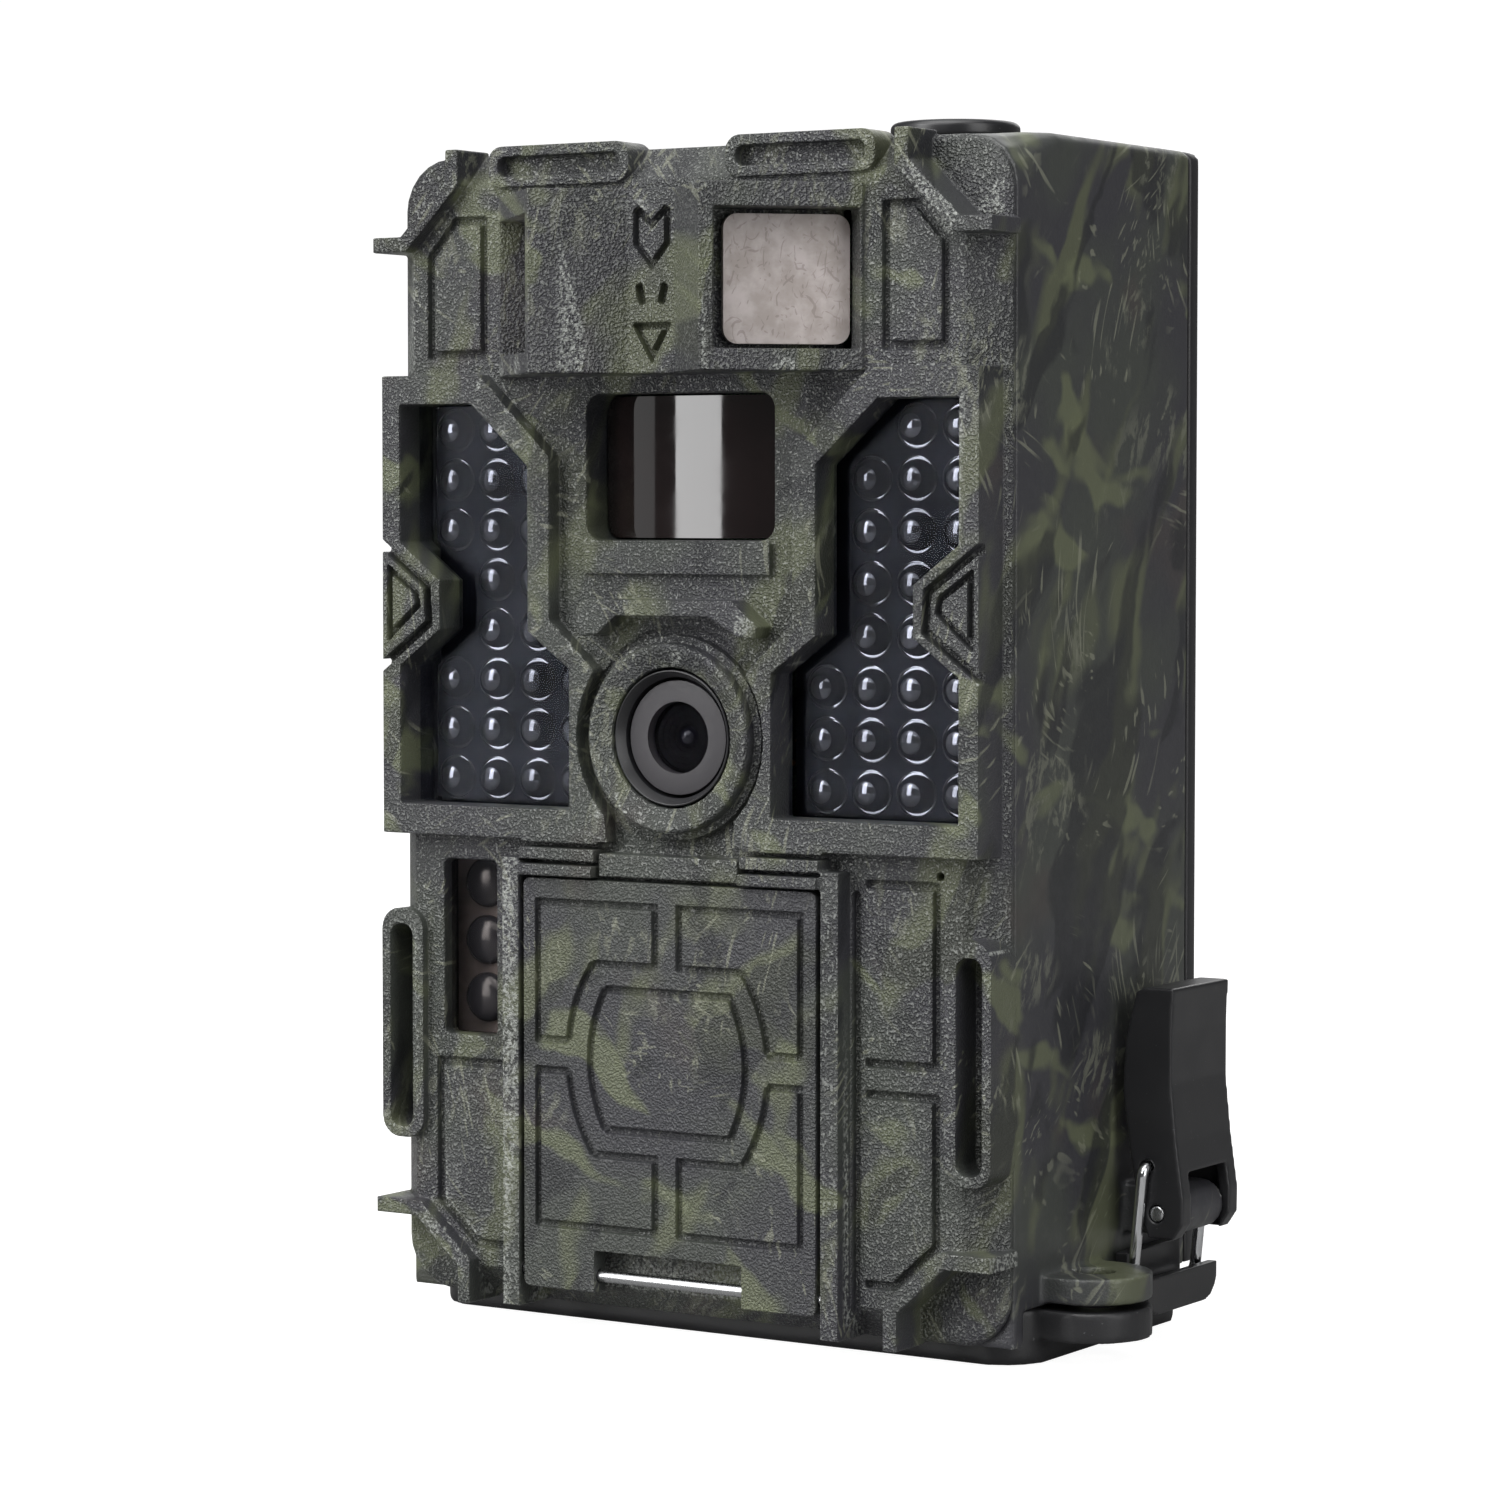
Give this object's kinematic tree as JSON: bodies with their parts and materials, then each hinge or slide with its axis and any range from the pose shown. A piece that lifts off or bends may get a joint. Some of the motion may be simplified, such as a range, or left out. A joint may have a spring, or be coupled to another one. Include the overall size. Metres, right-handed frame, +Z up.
{
  "type": "trail camera",
  "caption": "Camouflage trail camera: lamp windows, motion sensors and lens in front, flip-down door over the keys, and a hinged bottom cover held by a toggle latch.",
  "frame": {"origin": "on the underside of the bottom cover, on the housing's centre plane, 26 mm behind the flat of the front bezel", "axes": "+Z up, +Y from the lens towards the tree, +X towards the side with the toggle latch"},
  "size_m": [0.1025, 0.0776, 0.1472],
  "materials": {
    "camo_plastic": "moulded ABS with a printed camouflage film, fine stipple on the front",
    "black_plastic": "satin moulded black plastic",
    "lamp_window": "near-black polished acrylic",
    "sensor_window": "near-black polished plastic",
    "frosted_lens": "milky frosted polyethylene",
    "circuit_board": "green solder mask",
    "bare_steel": "bare steel",
    "chrome_wire": "bright plated wire",
    "brass_insert": "turned brass",
    "seal_rubber": "soft black rubber",
    "key_plastic": "grey moulded keys",
    "cell_sleeve": "plain shrink sleeve",
    "lens_grey": "satin grey lens mask",
    "lens_glass": "clear coated glass",
    "display_glass": "switched-off display"
  },
  "bodies": {
    "housing": {"front_bezel": "camo_plastic", "main_housing": "camo_plastic", "rear_cover": "black_plastic", "rear_bracket": "black_plastic", "antenna_cap": "black_plastic", "door_hinge_pin": "bare_steel", "motion_window_center": "sensor_window", "motion_sensor_center": "bare_steel", "lens_cover_glass": "lens_glass", "lens_shroud": "black_plastic", "lens_barrel": "lens_grey", "lens_element": "lens_glass", "image_sensor_board": "circuit_board", "status_window": "lamp_window", "status_board": "circuit_board", "microphone": "bare_steel", "display_module": "display_glass", "keypad_board": "circuit_board", "main_board": "circuit_board", "usb_socket": "bare_steel", "card_socket": "bare_steel", "battery_case": "black_plastic", "cover_hinge_pin": "bare_steel", "latch_pin": "bare_steel", "ir_window_right": "lamp_window", "ir_led_board_right": "circuit_board", "motion_lens_right": "frosted_lens", "motion_sensor_right": "bare_steel", "ir_window_left": "lamp_window", "ir_led_board_left": "circuit_board", "motion_lens_left": "frosted_lens", "motion_sensor_left": "bare_steel", "rear_screw_1": "bare_steel", "rear_screw_2": "bare_steel", "rear_screw_3": "bare_steel", "rear_screw_4": "bare_steel", "battery_cell_1": "cell_sleeve", "battery_cell_2": "cell_sleeve", "battery_cell_3": "cell_sleeve", "battery_cell_4": "cell_sleeve", "battery_cell_5": "cell_sleeve", "battery_cell_6": "cell_sleeve", "battery_cell_7": "cell_sleeve", "battery_cell_8": "cell_sleeve"},
    "front_door": {"front_door": "camo_plastic"},
    "bottom_cover": {"bottom_cover": "black_plastic", "cover_seal": "seal_rubber", "tripod_insert": "brass_insert", "latch_strike": "black_plastic"},
    "latch_lever": {"latch_lever": "black_plastic"},
    "latch_bail": {"latch_bail": "chrome_wire"},
    "power_switch": {"power_switch": "key_plastic"},
    "ir_cut_filter": {"ir_cut_filter": "lens_glass"},
    "button_up": {"button_up": "key_plastic"},
    "button_down": {"button_down": "key_plastic"},
    "button_left": {"button_left": "key_plastic"},
    "button_right": {"button_right": "key_plastic"},
    "button_ok": {"button_ok": "key_plastic"},
    "button_menu": {"button_menu": "key_plastic"}
  },
  "joints": [
    {"name": "front_door_hinge", "type": "hinge", "parent": "housing", "child": "front_door", "pos_m": [0, -0.0275, 0.00755], "axis": [1, 0, 0], "range_deg": [0, 95]},
    {"name": "bottom_cover_hinge", "type": "hinge", "parent": "housing", "child": "bottom_cover", "pos_m": [-0.0464, 0.003, 0.0069], "axis": [0, 1, 0], "range_deg": [0, 100]},
    {"name": "latch_lever_hinge", "type": "hinge", "parent": "housing", "child": "latch_lever", "pos_m": [0.0497, 0.0102, 0.0162], "axis": [0, 1, 0], "range_deg": [0, 120]},
    {"name": "latch_bail_hinge", "type": "hinge", "parent": "latch_lever", "child": "latch_bail", "pos_m": [0.0484, 0.0102, 0.0218], "axis": [0, 1, 0], "range_deg": [-165, 0]},
    {"name": "power_switch_slide", "type": "slide", "parent": "housing", "child": "power_switch", "axis": [-1, 0, 0], "range_m": [0, 0.004]},
    {"name": "ir_cut_filter_slide", "type": "slide", "parent": "housing", "child": "ir_cut_filter", "axis": [-1, 0, 0], "range_m": [0, 0.0064]},
    {"name": "button_up_press", "type": "slide", "parent": "housing", "child": "button_up", "axis": [0, 1, 0], "range_m": [0, 0.0005], "stiffness_N_per_m": 600},
    {"name": "button_down_press", "type": "slide", "parent": "housing", "child": "button_down", "axis": [0, 1, 0], "range_m": [0, 0.0005], "stiffness_N_per_m": 600},
    {"name": "button_left_press", "type": "slide", "parent": "housing", "child": "button_left", "axis": [0, 1, 0], "range_m": [0, 0.0005], "stiffness_N_per_m": 600},
    {"name": "button_right_press", "type": "slide", "parent": "housing", "child": "button_right", "axis": [0, 1, 0], "range_m": [0, 0.0005], "stiffness_N_per_m": 600},
    {"name": "button_ok_press", "type": "slide", "parent": "housing", "child": "button_ok", "axis": [0, 1, 0], "range_m": [0, 0.0005], "stiffness_N_per_m": 600},
    {"name": "button_menu_press", "type": "slide", "parent": "housing", "child": "button_menu", "axis": [0, 1, 0], "range_m": [0, 0.0005], "stiffness_N_per_m": 600}
  ],
  "couplings": [
    {"joint": "latch_bail_hinge", "follows": "latch_lever_hinge", "ratio": -1.35}
  ]
}
